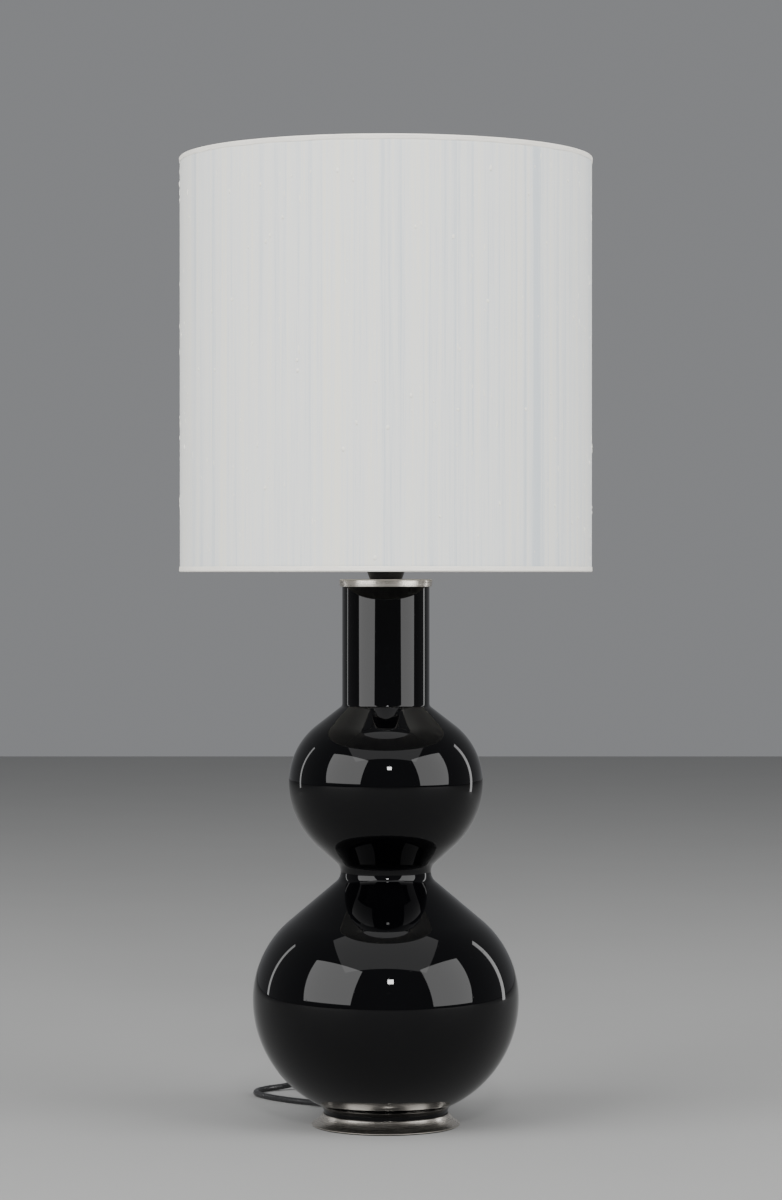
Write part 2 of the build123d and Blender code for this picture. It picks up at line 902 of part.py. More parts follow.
# ---- plug ----
def plug_laid(solid):
    """A solid made along +Z from the plug's rear end, laid towards the foot."""
    return Pos(plug_x, plug_rear, plug_height) * Rot(90, 0, 0) * solid


def at_pins(radius, low, high):
    """Two cylinders along the plug, one at each pin."""
    stick = Cylinder(radius, high - low, align=standing)
    return [Pos(side * pin_spacing / 2, 0, low) * stick for side in (-1, 1)]


def plug_body():
    rear = RectangleRounded(plug_rear_width, plug_thickness - plug_rear_drop, plug_corner)
    middle = RectangleRounded(plug_width, plug_thickness, plug_corner)
    widest = plug_length * plug_taper
    body = loft([rear, Pos(0, 0, widest) * middle])
    body += Pos(0, 0, widest) * extrude(middle, plug_length - widest)
    body = fillet(body.faces().sort_by(Axis.Z)[-1].edges(), plug_round)
    return plug_laid(body - at_pins(pin_sleeve_radius, plug_length - pin_depth, plug_length + 1))


def plug_boot():
    """The taper on the cord behind the plug."""
    boot = Cone(relief_tip_radius, plug_boot_radius, plug_boot_length, align=standing)
    return plug_laid(Pos(0, 0, -plug_boot_length) * boot)


def plug_sleeves():
    low = plug_length - pin_depth
    return [plug_laid(sleeve) for sleeve in at_pins(pin_sleeve_radius, low, plug_length + pin_sleeve_length)]


def plug_pins():
    low = plug_length + pin_sleeve_length
    pins = at_pins(pin_radius, low, plug_length + pin_length)
    return [plug_laid(fillet(pin.edges().sort_by(Axis.Z)[-1], pin_tip_round)) for pin in pins]


nodes = [
    felt_pad,
    foot_ring,
    base_weight,
    strain_relief,
    rod,
    rod_washer,
    rod_nut,
    inner_leads,
    seat_ring,
    glass_body,
    neck_bung,
    neck_cap,
    holder_cap,
    lock_screw,
    holder_insert,
    holder_shell,
    centre_contact,
    side_contact,
    shade_ring,
    bulb_contact,
    bulb_insulator,
    bulb_cap,
    bulb_glass,
    bulb_stem,
    bulb_filaments,
    shade_cover,
    shade_liner,
    top_hem,
    bottom_hem,
    top_ring,
    bottom_ring,
    spider,
    cord_lead,
    cord_feed,
    cord_coil,
    cord_tie,
    cord_tail,
    switch_base,
    switch_cover,
    switch_rocker,
    switch_screws,
    switch_contacts,
    plug_boot,
    plug_body,
    plug_sleeves,
    plug_pins,
]

os.makedirs("parts", exist_ok=True)
for make in nodes:
    made = make()
    shape = Compound(children=made) if isinstance(made, list) else made
    export_step(shape, f"parts/{make.__name__}.step")
print("heights:", round(cap_top, 1), round(shade_bottom, 1), round(shade_top, 1))
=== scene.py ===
import math
import random

import bmesh
import bpy
from mathutils import Matrix, Vector


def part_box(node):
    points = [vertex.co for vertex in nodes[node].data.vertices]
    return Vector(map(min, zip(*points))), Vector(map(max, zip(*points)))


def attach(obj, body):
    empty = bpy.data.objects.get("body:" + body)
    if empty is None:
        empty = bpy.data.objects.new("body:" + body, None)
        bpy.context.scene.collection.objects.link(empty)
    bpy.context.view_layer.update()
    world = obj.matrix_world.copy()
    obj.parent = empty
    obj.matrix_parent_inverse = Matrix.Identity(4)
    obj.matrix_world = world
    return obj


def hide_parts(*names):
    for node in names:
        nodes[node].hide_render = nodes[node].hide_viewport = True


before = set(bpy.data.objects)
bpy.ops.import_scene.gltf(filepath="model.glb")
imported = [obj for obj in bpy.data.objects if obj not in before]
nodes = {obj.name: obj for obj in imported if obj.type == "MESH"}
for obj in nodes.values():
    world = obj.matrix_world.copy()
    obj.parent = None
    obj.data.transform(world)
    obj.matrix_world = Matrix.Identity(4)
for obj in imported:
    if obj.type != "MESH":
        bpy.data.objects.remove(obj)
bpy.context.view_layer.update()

mm = 0.001
print("frame loaded:", len(nodes), "CAD nodes")

# camera at eye height in front of the lamp, tipped very slightly down
camera = {"place": (0.005, -3.441, 0.533), "lens": 106.5, "sensor": 36.0, "tipDown": 0.40}

cameraData = bpy.data.cameras.new("camera")
cameraData.lens = camera["lens"]
cameraData.sensor_width = camera["sensor"]
cameraObject = bpy.data.objects.new("camera", cameraData)
cameraObject.location = camera["place"]
cameraObject.rotation_euler = (math.radians(90 - camera["tipDown"]), 0, 0)
bpy.context.scene.collection.objects.link(cameraObject)
bpy.context.scene.camera = cameraObject
print("camera placed")


# shared mesh helpers
def finishPiece(bm, name, body, material, sharpAngle=40):
    mesh = bpy.data.meshes.new(name)
    bm.to_mesh(mesh)
    bm.free()
    mesh.polygons.foreach_set("use_smooth", [True] * len(mesh.polygons))
    mesh.set_sharp_from_angle(angle=math.radians(sharpAngle))
    mesh.materials.append(material)
    piece = bpy.data.objects.new(name, mesh)
    bpy.context.scene.collection.objects.link(piece)
    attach(piece, body)
    return piece


def arcPoints(centreR, centreZ, radius, startAngle, endAngle, steps):
    points = []
    for step in range(steps + 1):
        angle = math.radians(startAngle + (endAngle - startAngle) * step / steps)
        points.append((centreR + radius * math.cos(angle), centreZ + radius * math.sin(angle)))
    return points


def turned(outline, steps, closed=False):
    # an outline of (radius, height) pairs spun about the lamp's axis
    bm = bmesh.new()
    verts = [bm.verts.new((r, 0, z)) for r, z in outline]
    pairs = list(zip(verts, verts[1:]))
    if closed:
        pairs.append((verts[-1], verts[0]))
    edges = [bm.edges.new(pair) for pair in pairs]
    bmesh.ops.spin(
        bm, geom=verts + edges, cent=(0, 0, 0), axis=(0, 0, 1), angle=2 * math.pi, steps=steps, use_merge=True
    )
    bmesh.ops.remove_doubles(bm, verts=bm.verts, dist=0.000002)
    bmesh.ops.recalc_face_normals(bm, faces=bm.faces)
    return bm


# shared shader groups
def makeGroup(name, inputs, outputs):
    group = bpy.data.node_groups.new(name, "ShaderNodeTree")
    for label, kind, value in inputs:
        socket = group.interface.new_socket(label, in_out="INPUT", socket_type=kind)
        if value is not None:
            socket.default_value = value
    for label, kind in outputs:
        group.interface.new_socket(label, in_out="OUTPUT", socket_type=kind)
    return group, group.nodes.new("NodeGroupInput"), group.nodes.new("NodeGroupOutput")


def mathNode(tree, operation, first, second=None, third=None, clamp=False):
    node = tree.nodes.new("ShaderNodeMath")
    node.operation = operation
    node.use_clamp = clamp
    for index, value in enumerate((first, second, third)):
        if value is None:
            continue
        if isinstance(value, (int, float)):
            node.inputs[index].default_value = value
        else:
            tree.links.new(value, node.inputs[index])
    return node.outputs[0]


def noiseNode(tree, vector, scale, detail, roughness):
    node = tree.nodes.new("ShaderNodeTexNoise")
    tree.links.new(vector, node.inputs["Vector"])
    if isinstance(scale, (int, float)):
        node.inputs["Scale"].default_value = scale
    else:
        tree.links.new(scale, node.inputs["Scale"])
    node.inputs["Detail"].default_value = detail
    node.inputs["Roughness"].default_value = roughness
    return node.outputs["Fac"]


def stretched(tree, vector, scale):
    node = tree.nodes.new("ShaderNodeMapping")
    tree.links.new(vector, node.inputs["Vector"])
    node.inputs["Scale"].default_value = scale
    return node.outputs["Vector"]


def rangeNode(tree, value, fromLow, fromHigh, toLow, toHigh):
    node = tree.nodes.new("ShaderNodeMapRange")
    node.interpolation_type = "SMOOTHSTEP"
    tree.links.new(value, node.inputs["Value"])
    limits = {"From Min": fromLow, "From Max": fromHigh, "To Min": toLow, "To Max": toHigh}
    for label, number in limits.items():
        node.inputs[label].default_value = number
    return node.outputs["Result"]


def mixColour(tree, factor, first, second, blend="MIX"):
    node = tree.nodes.new("ShaderNodeMix")
    node.data_type = "RGBA"
    node.blend_type = blend
    for value, socket in ((factor, node.inputs[0]), (first, node.inputs[6]), (second, node.inputs[7])):
        if isinstance(value, (int, float)):
            socket.default_value = value
        elif isinstance(value, tuple):
            socket.default_value = (*value[:3], 1)
        else:
            tree.links.new(value, socket)
    return node.outputs[2]


def makeGrainGroup():
    # mottled tone, fine tooth and scattered specks of dust, for moulded, cast and painted surfaces
    group, start, end = makeGroup(
        "surfaceGrain",
        [
            ("Vector", "NodeSocketVector", None),
            ("Scale", "NodeSocketFloat", 400.0),
            ("Tone", "NodeSocketFloat", 0.2),
        ],
        [("Shade", "NodeSocketFloat"), ("Height", "NodeSocketFloat"), ("Specks", "NodeSocketFloat")],
    )
    vector = start.outputs["Vector"]
    scale = start.outputs["Scale"]
    fine = noiseNode(group, vector, scale, 3.0, 0.6)
    broad = noiseNode(group, vector, mathNode(group, "MULTIPLY", scale, 0.06), 2.0, 0.5)
    mottled = mathNode(group, "MULTIPLY", mathNode(group, "SUBTRACT", broad, 0.5), start.outputs["Tone"])
    group.links.new(mathNode(group, "ADD", mottled, 1.0), end.inputs["Shade"])
    group.links.new(fine, end.inputs["Height"])
    specks = noiseNode(group, vector, mathNode(group, "MULTIPLY", scale, 0.9), 1.0, 0.4)
    group.links.new(rangeNode(group, specks, 0.72, 0.80, 0.0, 1.0), end.inputs["Specks"])
    return group


def makeTurningGroup():
    # hair lines that run round the lamp's axis, as a lathe or a brush leaves them
    group, start, end = makeGroup(
        "turningLines",
        [("Vector", "NodeSocketVector", None), ("Scale", "NodeSocketFloat", 2500.0)],
        [("Lines", "NodeSocketFloat"), ("Smears", "NodeSocketFloat")],
    )
    split = group.nodes.new("ShaderNodeSeparateXYZ")
    group.links.new(start.outputs["Vector"], split.inputs[0])
    squares = [mathNode(group, "MULTIPLY", split.outputs[axis], split.outputs[axis]) for axis in (0, 1)]
    radius = mathNode(group, "SQRT", mathNode(group, "ADD", squares[0], squares[1]))
    turn = mathNode(group, "ARCTAN2", split.outputs[1], split.outputs[0])
    join = group.nodes.new("ShaderNodeCombineXYZ")
    group.links.new(radius, join.inputs[0])
    group.links.new(split.outputs[2], join.inputs[1])
    group.links.new(mathNode(group, "MULTIPLY", turn, 0.0006), join.inputs[2])
    group.links.new(noiseNode(group, join.outputs[0], start.outputs["Scale"], 3.0, 0.7), end.inputs["Lines"])
    group.links.new(noiseNode(group, start.outputs["Vector"], 45.0, 4.0, 0.55), end.inputs["Smears"])
    return group


def makeWeaveGroup():
    # plain weave on a surface's own map in metres: warp runs up, weft runs across
    group, start, end = makeGroup(
        "plainWeave",
        [
            ("Vector", "NodeSocketVector", None),
            ("Warp", "NodeSocketFloat", 2500.0),
            ("Weft", "NodeSocketFloat", 2000.0),
        ],
        [("Height", "NodeSocketFloat"), ("Gaps", "NodeSocketFloat")],
    )
    split = group.nodes.new("ShaderNodeSeparateXYZ")
    group.links.new(start.outputs["Vector"], split.inputs[0])
    across = mathNode(group, "MULTIPLY", split.outputs[0], start.outputs["Warp"])
    up = mathNode(group, "MULTIPLY", split.outputs[1], start.outputs["Weft"])
    waves = [mathNode(group, "SINE", value) for value in (across, up)]
    crossed = mathNode(group, "MULTIPLY", waves[0], waves[1])
    height = mathNode(group, "MULTIPLY_ADD", crossed, 0.5, 0.5)
    group.links.new(height, end.inputs["Height"])
    group.links.new(rangeNode(group, height, 0.0, 0.25, 1.0, 0.0), end.inputs["Gaps"])
    return group


grainGroup = makeGrainGroup()
turningGroup = makeTurningGroup()
weaveGroup = makeWeaveGroup()


def placeGroup(tree, group, vector, **values):
    node = tree.nodes.new("ShaderNodeGroup")
    node.node_tree = group
    tree.links.new(vector, node.inputs["Vector"])
    for label, value in values.items():
        node.inputs[label].default_value = value
    return node.outputs


def startMaterial(name, constants):
    material = bpy.data.materials.new(name)
    material.use_nodes = True
    tree = material.node_tree
    shader = tree.nodes["Principled BSDF"]
    for label, value in constants.items():
        shader.inputs[label].default_value = value
    coords = tree.nodes.new("ShaderNodeTexCoord")
    return material, tree, shader, coords


def addBump(tree, shader, height, strength, distance):
    bump = tree.nodes.new("ShaderNodeBump")
    bump.inputs["Strength"].default_value = strength
    bump.inputs["Distance"].default_value = distance
    tree.links.new(height, bump.inputs["Height"])
    tree.links.new(bump.outputs["Normal"], shader.inputs["Normal"])


def tinted(tree, colour, shade):
    return mixColour(tree, 1.0, colour, shade, blend="MULTIPLY")


# finishes that differ only in their values
finishes = {
    "blackPlastic": {
        "colour": (0.016, 0.016, 0.017), "rough": (0.26, 0.4), "grain": 900, "bump": 0.1, "tone": 0.5,
    },
    "porcelain": {
        "colour": (0.82, 0.8, 0.75), "rough": (0.3, 0.45), "grain": 700, "bump": 0.12, "tone": 0.12,
    },
    "brass": {
        "colour": (0.78, 0.56, 0.24), "rough": (0.22, 0.4), "grain": 500, "bump": 0.08, "tone": 0.3,
        "metal": 1.0,
    },
    "steel": {
        "colour": (0.6, 0.6, 0.6), "rough": (0.28, 0.48), "grain": 600, "bump": 0.1, "tone": 0.25,
        "metal": 1.0,
    },
    "castIron": {
        "colour": (0.06, 0.06, 0.062), "rough": (0.6, 0.85), "grain": 350, "bump": 0.6, "tone": 0.5,
        "metal": 0.6,
    },
    "rubber": {
        "colour": (0.02, 0.02, 0.021), "rough": (0.5, 0.68), "grain": 800, "bump": 0.18, "tone": 0.4,
    },
    "cordJacket": {
        "colour": (0.014, 0.014, 0.015), "rough": (0.24, 0.36), "grain": 700, "bump": 0.1, "tone": 0.4,
    },
    "wireInsulation": {
        "colour": (0.16, 0.07, 0.03), "rough": (0.4, 0.55), "grain": 600, "bump": 0.08, "tone": 0.2,
    },
    "whiteWire": {
        "colour": (0.8, 0.8, 0.77), "rough": (0.28, 0.42), "grain": 450, "bump": 0.14, "tone": 0.08,
    },
    "styrene": {
        "colour": (0.84, 0.83, 0.79), "rough": (0.34, 0.48), "grain": 240, "bump": 0.08, "tone": 0.06,
    },
    "bulbMetal": {
        "colour": (0.74, 0.73, 0.7), "rough": (0.16, 0.3), "grain": 500, "bump": 0.06, "tone": 0.2,
        "metal": 1.0,
    },
    "bulbInsulation": {
        "colour": (0.01, 0.01, 0.014), "rough": (0.1, 0.22), "grain": 500, "bump": 0.05, "tone": 0.3,
    },
    "filament": {
        "colour": (0.9, 0.58, 0.12), "rough": (0.45, 0.6), "grain": 900, "bump": 0.2, "tone": 0.2,
    },
    "feltBlack": {
        "colour": (0.012, 0.012, 0.013), "rough": (0.9, 1.0), "grain": 1200, "bump": 0.9, "tone": 0.6,
    },
}


def makeFinish(name, finish):
    metal = finish.get("metal", 0.0)
    material, tree, shader, coords = startMaterial(name, {"Metallic": metal})
    grain = placeGroup(tree, grainGroup, coords.outputs["Object"], Scale=finish["grain"], Tone=finish["tone"])
    tree.links.new(tinted(tree, finish["colour"], grain["Shade"]), shader.inputs["Base Color"])
    rough = rangeNode(tree, grain["Height"], 0.3, 0.7, *finish["rough"])
    dusty = mathNode(tree, "MULTIPLY_ADD", grain["Specks"], 0.15, rough, clamp=True)
    tree.links.new(dusty, shader.inputs["Roughness"])
    addBump(tree, shader, grain["Height"], finish["bump"], 0.0002)
    return material


materials = {name: makeFinish(name, finish) for name, finish in finishes.items()}
print("plain finishes made:", len(materials))


# gloss black glass of the body
glassLook = {"colour": (0.0008, 0.0008, 0.0011), "rough": (0.012, 0.045), "smear": 9.0, "wave": 0.05}


def makeBlackGlass():
    constants = {"IOR": 1.46, "Specular IOR Level": 0.26}
    material, tree, shader, coords = startMaterial("blackGlass", constants)
    grain = placeGroup(tree, grainGroup, coords.outputs["Object"], Scale=260.0, Tone=0.5)
    tree.links.new(tinted(tree, glassLook["colour"], grain["Shade"]), shader.inputs["Base Color"])
    streaked = stretched(tree, coords.outputs["Object"], (1, 1, 0.35))
    smear = noiseNode(tree, streaked, glassLook["smear"], 5.0, 0.6)
    wiped = rangeNode(tree, smear, 0.45, 0.75, *glassLook["rough"])
    dusty = mathNode(tree, "MULTIPLY_ADD", grain["Specks"], 0.12, wiped, clamp=True)
    tree.links.new(dusty, shader.inputs["Roughness"])
    wave = noiseNode(tree, coords.outputs["Object"], 14.0, 1.0, 0.4)
    addBump(tree, shader, wave, glassLook["wave"], 0.0012)
    return material


materials["blackGlass"] = makeBlackGlass()

# satin nickel of the foot and the neck cap
nickelLook = {
    "bright": (0.66, 0.62, 0.56), "dull": (0.40, 0.37, 0.33), "rough": (0.20, 0.34), "lines": 3200.0,
}


def makeNickel():
    material, tree, shader, coords = startMaterial("satinNickel", {"Metallic": 1.0, "Anisotropic": 0.35})
    turning = placeGroup(tree, turningGroup, coords.outputs["Object"], Scale=nickelLook["lines"])
    grain = placeGroup(tree, grainGroup, coords.outputs["Object"], Scale=500.0, Tone=0.2)
    tarnish = rangeNode(tree, turning["Smears"], 0.50, 0.78, 0.0, 0.55)
    tone = mixColour(tree, tarnish, nickelLook["bright"], nickelLook["dull"])
    scored = rangeNode(tree, turning["Lines"], 0.35, 0.75, 0.0, 0.35)
    tree.links.new(mixColour(tree, scored, tone, nickelLook["dull"]), shader.inputs["Base Color"])
    rough = rangeNode(tree, turning["Lines"], 0.3, 0.7, *nickelLook["rough"])
    dusty = mathNode(tree, "MULTIPLY_ADD", grain["Specks"], 0.2, rough, clamp=True)
    tree.links.new(dusty, shader.inputs["Roughness"])
    addBump(tree, shader, turning["Lines"], 0.12, 0.0001)
    return material


materials["satinNickel"] = makeNickel()

# slubby silk of the shade, on its own map: u round the drum and v up, in metres
silkLook = {
    "white": (0.835, 0.85, 0.83),
    "ivory": (0.90, 0.885, 0.79),
    "blueGrey": (0.63, 0.685, 0.72),
    "gap": (0.45, 0.45, 0.44),
    # how fine each kind of stripe is, across the drum and up it, and how much it counts beside the band
    "hair": ((1500, 14, 1), 0.9),
    "thread": ((330, 1.6, 1), 1.3),
    "strip": ((140, 0.8, 1), 1.3),
    "band": (55, 0.4, 1),
    "fleck": ((520, 130, 1), 0.3),
    # single stripes: place from the front, half width, and strength, ivory above nought and grey below
    "streaks": [
        (-0.050, 0.012, 0.9), (0.157, 0.012, -1.5), (0.178, 0.006, 0.8), (0.120, 0.005, 0.7),
        (-0.175, 0.012, 0.6), (0.062, 0.006, -0.5), (-0.105, 0.006, -0.5), (0.190, 0.004, -0.6),
        (0.020, 0.008, 0.4), (-0.138, 0.005, 0.5),
    ],
    "streakShare": 0.30,
    "rough": (0.42, 0.66),
}


def makeSilk():
    constants = {"Sheen Weight": 0.25, "Sheen Roughness": 0.4, "Specular IOR Level": 0.35}
    material, tree, shader, coords = startMaterial("slubSilk", constants)
    cloth = coords.outputs["UV"]
    hair = noiseNode(tree, stretched(tree, cloth, silkLook["hair"][0]), 1.0, 3.0, 0.6)
    thread = noiseNode(tree, stretched(tree, cloth, silkLook["thread"][0]), 1.0, 4.0, 0.65)
    band = noiseNode(tree, stretched(tree, cloth, silkLook["band"]), 1.0, 3.0, 0.6)
    strip = noiseNode(tree, stretched(tree, cloth, silkLook["strip"][0]), 1.0, 3.0, 0.6)
    fleck = noiseNode(tree, stretched(tree, cloth, silkLook["fleck"][0]), 1.0, 2.0, 0.5)
    weave = placeGroup(tree, weaveGroup, cloth, Warp=11000.0, Weft=9000.0)
    split = tree.nodes.new("ShaderNodeSeparateXYZ")
    tree.links.new(cloth, split.inputs[0])
    tone = mathNode(tree, "SUBTRACT", band, 0.5)
    for stripe, kind in ((strip, "strip"), (thread, "thread"), (hair, "hair")):
        swing = mathNode(tree, "SUBTRACT", stripe, 0.5)
        tone = mathNode(tree, "MULTIPLY_ADD", swing, silkLook[kind][1], tone)
    flecked = rangeNode(tree, fleck, 0.68, 0.78, 0.0, 1.0)
    tone = mathNode(tree, "MULTIPLY_ADD", flecked, silkLook["fleck"][1], tone)
    for place, width, amount in silkLook["streaks"]:
        away = mathNode(tree, "ABSOLUTE", mathNode(tree, "SUBTRACT", split.outputs[0], place))
        streak = rangeNode(tree, away, width * 0.3, width, 1.0, 0.0)
        tone = mathNode(tree, "MULTIPLY_ADD", streak, amount * silkLook["streakShare"], tone)
    warm = rangeNode(tree, tone, -0.05, 0.45, 0.0, 1.0)
    cool = rangeNode(tree, tone, 0.05, -0.50, 0.0, 1.0)
    colour = mixColour(tree, warm, silkLook["white"], silkLook["ivory"])
    colour = mixColour(tree, cool, colour, silkLook["blueGrey"])
    shadow = mathNode(tree, "MULTIPLY", weave["Gaps"], 0.16)
    tree.links.new(mixColour(tree, shadow, colour, silkLook["gap"]), shader.inputs["Base Color"])
    tree.links.new(rangeNode(tree, thread, 0.3, 0.7, *silkLook["rough"]), shader.inputs["Roughness"])
    ribs = mathNode(tree, "MULTIPLY_ADD", hair, 0.6, mathNode(tree, "MULTIPLY", thread, 0.8))
    ribs = mathNode(tree, "MULTIPLY_ADD", weave["Height"], 0.25, ribs)
    addBump(tree, shader, ribs, 0.55, 0.0004)
    return material


materials["slubSilk"] = makeSilk()


# the thick ends of yarn are painted lighter than the cloth round them: a painted highlight where they catch
# more light
knotLook = {
    "dull": (0.90, 0.89, 0.82), "bright": (0.97, 0.95, 0.86), "rough": (0.35, 0.55), "twist": (3000, 900, 1),
}


def makeKnotSilk():
    constants = {"Sheen Weight": 0.3, "Sheen Roughness": 0.4}
    material, tree, shader, coords = startMaterial("knotSilk", constants)
    twist = noiseNode(tree, stretched(tree, coords.outputs["UV"], knotLook["twist"]), 1.0, 3.0, 0.6)
    # dull to bright along the yarn's twist: a painted glint on the knots
    threadBlend = rangeNode(tree, twist, 0.3, 0.7, 0.0, 1.0)
    tree.links.new(mixColour(tree, threadBlend, knotLook["dull"], knotLook["bright"]), shader.inputs["Base Color"])
    tree.links.new(rangeNode(tree, twist, 0.3, 0.7, *knotLook["rough"]), shader.inputs["Roughness"])
    addBump(tree, shader, twist, 0.5, 0.0002)
    return material


materials["knotSilk"] = makeKnotSilk()

# ivory tape of the hems
tapeLook = {"light": (0.95, 0.92, 0.84), "dark": (0.86, 0.83, 0.74), "rough": (0.55, 0.75)}


def makeTapeWeave():
    material, tree, shader, coords = startMaterial("ivoryTape", {"Sheen Weight": 0.2, "Sheen Roughness": 0.5})
    cloth = coords.outputs["UV"]
    weave = placeGroup(tree, weaveGroup, cloth, Warp=7000.0, Weft=9000.0)
    thread = noiseNode(tree, stretched(tree, cloth, (160, 900, 1)), 1.0, 3.0, 0.6)
    threadBlend = rangeNode(tree, thread, 0.45, 0.75, 0.0, 0.5)
    tone = mixColour(tree, threadBlend, tapeLook["light"], tapeLook["dark"])
    # the weave's gaps are mixed towards the dark tone: painted shade between the threads
    gaps = mathNode(tree, "MULTIPLY", weave["Gaps"], 0.35)
    tree.links.new(mixColour(tree, gaps, tone, tapeLook["dark"]), shader.inputs["Base Color"])
    tree.links.new(rangeNode(tree, thread, 0.3, 0.7, *tapeLook["rough"]), shader.inputs["Roughness"])
    ribs = mathNode(tree, "MULTIPLY_ADD", thread, 0.6, weave["Height"])
    addBump(tree, shader, ribs, 0.5, 0.0003)
    return material


materials["ivoryTape"] = makeTapeWeave()


# clear glass of the bulb
def makeBulbGlass():
    constants = {"Transmission Weight": 1.0, "IOR": 1.45, "Base Color": (0.97, 0.97, 0.96, 1)}
    material, tree, shader, coords = startMaterial("clearGlass", constants)
    grain = placeGroup(tree, grainGroup, coords.outputs["Object"], Scale=300.0, Tone=0.2)
    smear = noiseNode(tree, coords.outputs["Object"], 40.0, 3.0, 0.5)
    rough = rangeNode(tree, smear, 0.45, 0.8, 0.01, 0.06)
    dusty = mathNode(tree, "MULTIPLY_ADD", grain["Specks"], 0.1, rough, clamp=True)
    tree.links.new(dusty, shader.inputs["Roughness"])
    return material


materials["clearGlass"] = makeBulbGlass()
print("special finishes made:", len(materials))

# which finish each CAD node wears
nodeFinishes = {
    "feltBlack": ["felt_pad"],
    "satinNickel": ["foot_ring", "neck_cap"],
    "castIron": ["base_weight"],
    "rubber": ["strain_relief", "seat_ring", "neck_bung", "cord_tie", "plug_boot"],
    "steel": ["rod", "rod_washer", "rod_nut", "lock_screw", "switch_screws"],
    "wireInsulation": ["inner_leads"],
    "blackGlass": ["glass_body"],
    "blackPlastic": [
        "holder_cap", "holder_shell", "shade_ring", "switch_base", "switch_cover", "switch_rocker",
        "plug_body", "plug_sleeves",
    ],
    "porcelain": ["holder_insert"],
    "brass": ["centre_contact", "side_contact", "switch_contacts"],
    "bulbMetal": ["bulb_contact", "bulb_cap", "plug_pins"],
    "bulbInsulation": ["bulb_insulator"],
    "clearGlass": ["bulb_glass", "bulb_stem"],
    "filament": ["bulb_filaments"],
    "slubSilk": ["shade_cover"],
    "styrene": ["shade_liner"],
    "whiteWire": ["top_ring", "bottom_ring", "spider"],
    "ivoryTape": ["top_hem", "bottom_hem"],
    "cordJacket": ["cord_lead", "cord_feed", "cord_coil", "cord_tail"],
}
for finishName, nodeNames in nodeFinishes.items():
    for nodeName in nodeNames:
        node = nodes[nodeName]
        if not node.material_slots:
            node.data.materials.append(materials[finishName])
        for materialSlot in node.material_slots:
            materialSlot.material = materials[finishName]
print("CAD nodes finished")

# cord: the same route as the CAD tubes, with the coil's turns between them; route points in millimetres
cordShape = {
    "radius": 3.0 * mm,
    "length": 1.75,
    "lead": [
        (-47.0, 81.41, 5.0), (-58.0, 100.46, 4.9), (-76.0, 123.0, 3.3), (-100.0, 141.0, 3.1),
        (-127.0, 171.5, 3.1), (-135.4, 195.0, 3.1), (-127.0, 218.5, 3.1), (-105.5, 230.4, 3.9),
        (-90.0, 232.3, 7.8), (-77.0, 232.0, 9.0),
    ],
    "throughSwitch": [(-60.0, 232.0, 9.0), (-36.0, 232.0, 9.0)],
    "feed": [
        (-19.0, 232.0, 9.0), (-5.0, 232.0, 7.4), (8.0, 226.6, 4.6), (17.9, 216.7, 3.85),
        (23.5, 203.8, 3.85), (23.5, 189.8, 3.85),
    ],
    "tail": [
        (-4.0, 212.0, 10.05), (9.0, 212.0, 10.8), (22.9, 206.3, 10.8), (33.5, 195.7, 9.6),
        (39.2, 181.8, 7.6), (39.2, 166.8, 6.95), (39.2, 158.0, 6.95),
    ],
    "coilCentre": (-21.8, 167.4), "coilRadius": 45.3, "pitch": 6.2, "lowZ": 3.85,
    "turns": 5.75, "columns": 3, "pointsPerTurn": 16, "climb": 0.3,
}


def coilTurns(shape):
    # clockwise from above: inwards along the floor, up one layer, and outwards again on top
    points = []
    count = int(shape["turns"] * shape["pointsPerTurn"])
    for step in range(count + 1):
        turn = step / shape["pointsPerTurn"]
        inward = shape["columns"] - abs(turn - shape["columns"])
        radius = shape["coilRadius"] - shape["pitch"] * inward
        climbed = min(max((turn - shape["columns"]) / shape["climb"] + 0.5, 0), 1)
        z = shape["lowZ"] + shape["pitch"] * climbed * climbed * (3 - 2 * climbed)
        angle = -2 * math.pi * turn
        x = shape["coilCentre"][0] + radius * math.cos(angle)
        points.append((x, shape["coilCentre"][1] + radius * math.sin(angle), z))
    return points


def makeCord(shape):
    route = shape["lead"] + shape["throughSwitch"] + shape["feed"] + coilTurns(shape) + shape["tail"]
    curve = bpy.data.curves.new("mainsCord", "CURVE")
    curve.dimensions = "3D"
    curve.bevel_depth = shape["radius"]
    curve.bevel_resolution = 4
    curve.resolution_u = 5
    curve.use_fill_caps = True
    spline = curve.splines.new("NURBS")
    spline.points.add(len(route) - 1)
    for point, (x, y, z) in zip(spline.points, route):
        point.co = (x * mm, y * mm, z * mm, 1)
    spline.order_u = 3
    spline.use_endpoint_u = True
    curve.materials.append(materials["cordJacket"])
    piece = bpy.data.objects.new("mainsCord", curve)
    bpy.context.scene.collection.objects.link(piece)
    return piece


mainsCord = makeCord(cordShape)
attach(mainsCord, "stand")
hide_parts("cord_lead", "cord_feed", "cord_coil", "cord_tail")
onCord = ["strain_relief", "cord_tie", "switch_base", "switch_cover", "switch_rocker", "switch_screws"]
onCord += ["plug_boot", "plug_body", "plug_sleeves", "plug_pins"]
print("cord laid")

# body: two blown bulbs and a straight neck
bodyShape = {
    "bottom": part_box("glass_body")[0][2], "top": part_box("glass_body")[1][2],
    "collarRadius": 60.1 * mm, "collarFillet": 10.0 * mm, "collarHeight": 0.9 * mm,
    "lowerRadius": 129.1 * mm, "lowerUnder": 112.1 * mm, "lowerOver": 99.1 * mm, "lowerShoulder": 49.85,
    "waistRadius": 43.9 * mm, "waistArc": 12.0 * mm, "upperRise": 48.64,
    "upperRadius": 94.0 * mm, "upperUnder": 84.0 * mm, "upperOver": 69.0 * mm, "upperShoulder": 52.4,
    "neckRadius": 42.4 * mm, "neckFillet": 4.0 * mm, "edge": 0.8 * mm, "around": 220,
}


